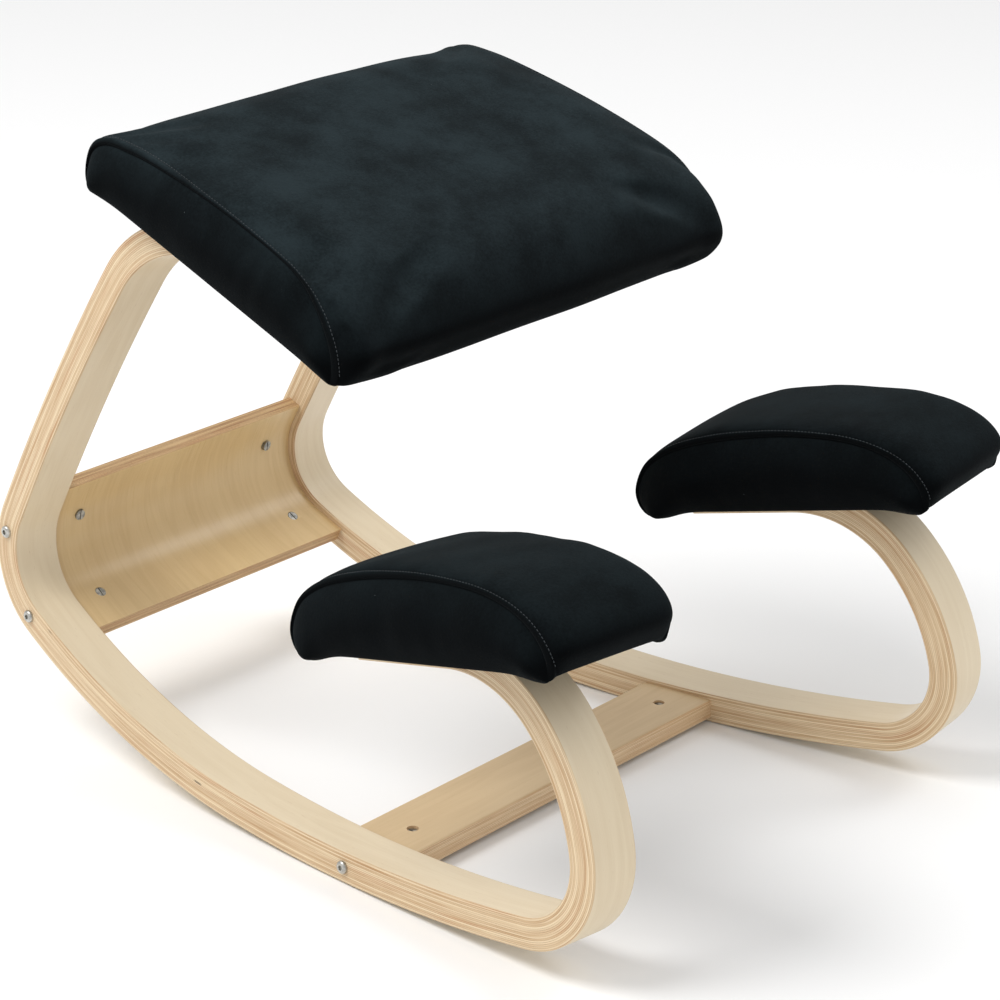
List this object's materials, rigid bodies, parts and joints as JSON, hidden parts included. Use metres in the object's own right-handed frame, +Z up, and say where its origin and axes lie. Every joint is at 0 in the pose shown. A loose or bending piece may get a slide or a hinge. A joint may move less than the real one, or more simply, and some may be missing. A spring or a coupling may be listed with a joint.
{
  "type": "kneeling chair",
  "caption": "Rocking kneeling chair: two bent plywood runners, a sloping padded seat and a padded rest for each knee, tied by a bent rear panel and a cross bar.",
  "frame": {"origin": "on the floor, under the middle of the chair", "axes": "+Z up, knees toward -Y, the sitter's left hand toward +X"},
  "size_m": [0.5914, 0.7224, 0.5633],
  "materials": {
    "runner_plywood": "satin",
    "panel_plywood": "satin",
    "bar_plywood": "satin",
    "board_plywood": "matte",
    "beech_dowel": "matte",
    "zinc_steel": "satin",
    "black_cloth": "matte",
    "black_lining": "matte",
    "seat_foam_cream": "matte"
  },
  "bodies": {
    "root": {"left_runner": "runner_plywood", "right_runner": "runner_plywood", "rear_panel": "panel_plywood", "front_cross_bar": "bar_plywood", "rear_panel_bolts": "zinc_steel", "cross_bar_bolts": "zinc_steel", "rear_panel_barrel_nuts": "zinc_steel", "cross_bar_barrel_nuts": "zinc_steel", "cross_bar_dowels": "beech_dowel", "seat_board": "board_plywood", "seat_rim_strips": "board_plywood", "seat_underlining": "black_lining", "seat_t_nuts": "zinc_steel", "seat_screws": "zinc_steel", "seat_foam": "seat_foam_cream", "seat_cover": "black_cloth", "left_knee_board": "board_plywood", "left_knee_underlining": "black_lining", "left_knee_t_nuts": "zinc_steel", "left_knee_screws": "zinc_steel", "left_knee_foam": "seat_foam_cream", "left_knee_cover": "black_cloth", "right_knee_board": "board_plywood", "right_knee_underlining": "black_lining", "right_knee_t_nuts": "zinc_steel", "right_knee_screws": "zinc_steel", "right_knee_foam": "seat_foam_cream", "right_knee_cover": "black_cloth"}
  },
  "joints": []
}
